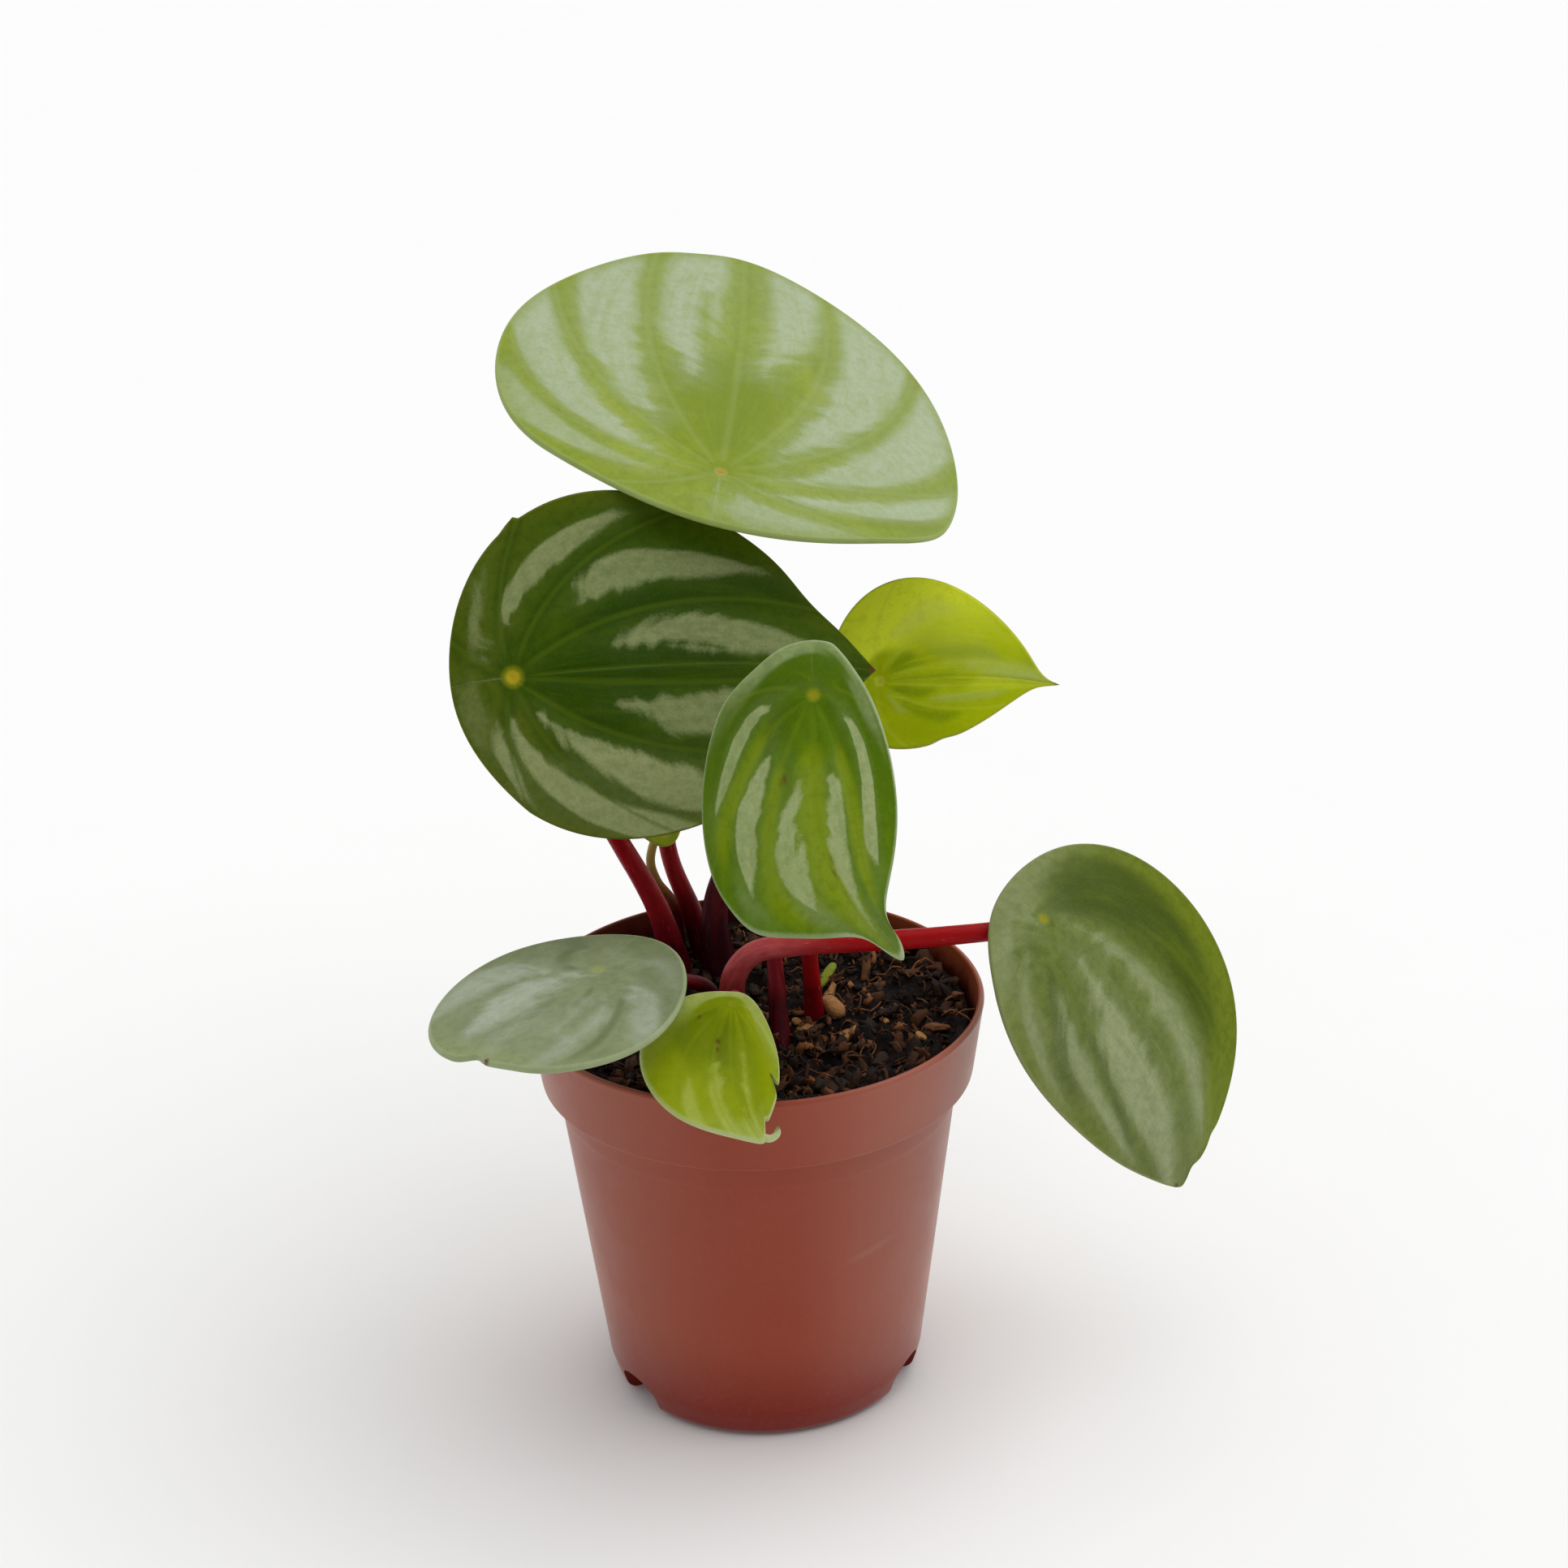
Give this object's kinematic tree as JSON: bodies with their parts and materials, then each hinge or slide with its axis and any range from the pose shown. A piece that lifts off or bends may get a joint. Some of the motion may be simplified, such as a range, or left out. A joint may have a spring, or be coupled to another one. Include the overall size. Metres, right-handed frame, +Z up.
{
  "type": "potted peperomia",
  "caption": "Young watermelon peperomia with silver-banded round leaves on red petioles, growing in soil in a small tapered plastic nursery pot.",
  "frame": {"origin": "centre of the pot's flat underside", "axes": "+Z up along the pot's axis, -Y towards the side the plant is seen from, +X to that side's right"},
  "size_m": [0.1053, 0.1167, 0.1381],
  "materials": {
    "pot_plastic": "satin",
    "potting_soil": "matte",
    "petiole_red": "satin",
    "leaf_top_blade": "satin",
    "leaf_left_blade": "satin",
    "leaf_front_blade": "satin",
    "leaf_back_blade": "satin",
    "leaf_right_blade": "satin",
    "leaf_low_left_blade": "satin",
    "leaf_low_front_blade": "satin",
    "leaf_young_blade": "satin"
  },
  "bodies": {
    "root": {"pot": "pot_plastic", "soil": "potting_soil", "petiole_top": "petiole_red", "petiole_left": "petiole_red", "petiole_young": "petiole_red", "petiole_front": "petiole_red", "petiole_back": "petiole_red", "petiole_right": "petiole_red", "petiole_low_left": "petiole_red", "petiole_low_front": "petiole_red", "petiole_bare": "petiole_red", "leaf_top": "leaf_top_blade", "leaf_left": "leaf_left_blade", "leaf_front": "leaf_front_blade", "leaf_back": "leaf_back_blade", "leaf_right": "leaf_right_blade", "leaf_low_left": "leaf_low_left_blade", "leaf_low_front": "leaf_low_front_blade", "leaf_young": "leaf_young_blade"}
  },
  "joints": []
}
